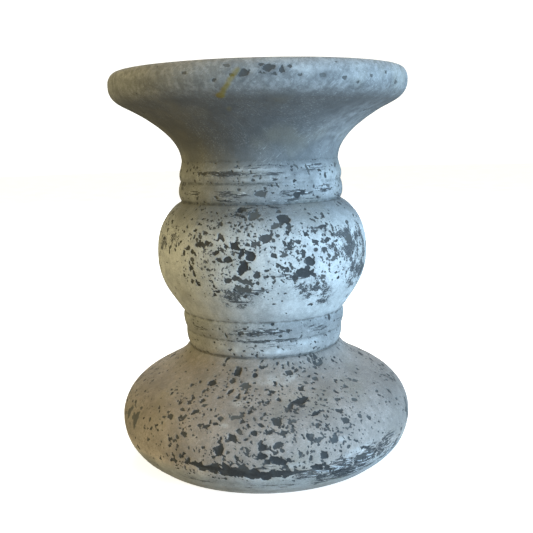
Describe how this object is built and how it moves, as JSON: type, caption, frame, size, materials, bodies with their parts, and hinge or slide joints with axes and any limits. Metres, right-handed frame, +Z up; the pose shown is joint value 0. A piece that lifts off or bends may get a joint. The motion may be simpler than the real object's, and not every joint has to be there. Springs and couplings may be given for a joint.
{
  "type": "pillar candle holder",
  "caption": "Turned pillar candle holder with a dished plate, a bulb between beaded collars and a bell-shaped foot, in a distressed stone-effect coat.",
  "frame": {"origin": "on the table, under the centre of the felt", "axes": "+Z up along the turning axis; X and Y are free, and the chips and stain of the finish are laid out with -Y as the front"},
  "size_m": [0.15, 0.15, 0.194],
  "materials": {
    "plate_coat": "turned wood under a matt chalky grey stone-effect coat, mottled and chipped at the rim, wax-stained",
    "upper_collar_coat": "turned wood under a matt chalky grey stone-effect coat, streaked along the beads and chipped",
    "bulb_coat": "turned wood under a matt chalky pale coat with sharp dark slate chips and scratches",
    "lower_collar_coat": "turned wood under a matt chalky grey stone-effect coat, streaked along the beads",
    "base_coat": "turned wood under a matt chalky grey stone-effect coat, pitted, scuffed dark low on the foot",
    "brass_insert": "plain turned brass",
    "zinc_steel": "zinc-plated steel",
    "felt": "pressed charcoal wool felt"
  },
  "bodies": {
    "root": {"candle_plate": "plate_coat", "upper_collar": "upper_collar_coat", "bulb": "bulb_coat", "lower_collar": "lower_collar_coat", "base": "base_coat", "threaded_insert": "brass_insert", "tie_rod": "zinc_steel", "washer": "zinc_steel", "nut": "zinc_steel", "felt_pad": "felt"}
  },
  "joints": []
}
